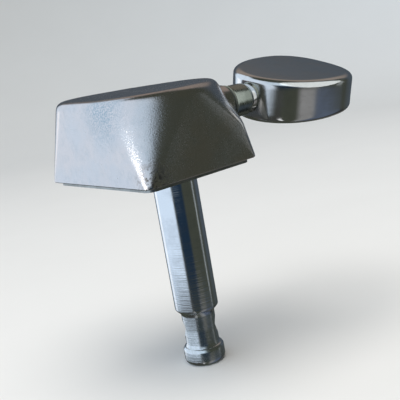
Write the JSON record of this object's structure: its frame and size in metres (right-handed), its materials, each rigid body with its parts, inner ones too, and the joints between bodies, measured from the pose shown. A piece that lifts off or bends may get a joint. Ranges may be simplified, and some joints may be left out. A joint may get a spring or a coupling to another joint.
{
  "type": "guitar machine head",
  "caption": "Sealed worm-drive guitar machine head: cast housing, string post with a cross hole, and an oval metal button that turns the post.",
  "frame": {"origin": "on the string post's axis, at the mounting face under the base plate", "axes": "+Z out of the mounting face into the housing, with the post pointing along -Z; +X along the worm shaft towards the button"},
  "size_m": [0.0393, 0.0274, 0.0416],
  "materials": {
    "housing_chrome": "worn satin chrome on a cast zinc shell",
    "button_chrome": "polished chrome, worn on the flat faces",
    "post_chrome": "polished chrome with fine turned lines",
    "collar_steel": "tarnished plated steel",
    "plate_steel": "dark stained pressed steel",
    "screw_steel": "plain machine screws",
    "gear_brass": "machined brass",
    "bush_bronze": "sintered bronze",
    "seal_rubber": "black rubber",
    "washer_nylon": "grey nylon",
    "worm_steel": "ground steel"
  },
  "bodies": {
    "casing": {"housing": "housing_chrome", "base_plate": "plate_steel", "base_screws": "screw_steel", "gasket": "seal_rubber", "locating_pin": "screw_steel", "post_bush": "bush_bronze", "post_seal": "seal_rubber", "thrust_washer": "washer_nylon", "front_bush": "collar_steel", "rear_bush": "bush_bronze", "shaft_seal": "seal_rubber"},
    "post": {"string_post": "post_chrome", "worm_wheel": "gear_brass", "gear_washer": "screw_steel", "gear_screw": "screw_steel"},
    "button_shaft": {"worm_shaft": "worm_steel", "wave_washer": "collar_steel", "nylon_washer": "washer_nylon", "button_collar": "collar_steel", "button": "button_chrome", "lock_washer": "screw_steel", "button_screw": "screw_steel"}
  },
  "joints": [
    {"name": "button_spin", "type": "hinge", "parent": "casing", "child": "button_shaft", "pos_m": [0, -0.006, 0.00795], "axis": [1, 0, 0], "continuous": true},
    {"name": "post_spin", "type": "hinge", "parent": "casing", "child": "post", "pos_m": [0, 0, 0], "axis": [0, 0, 1], "continuous": true}
  ],
  "couplings": [
    {"joint": "post_spin", "follows": "button_spin", "ratio": -0.066667}
  ]
}
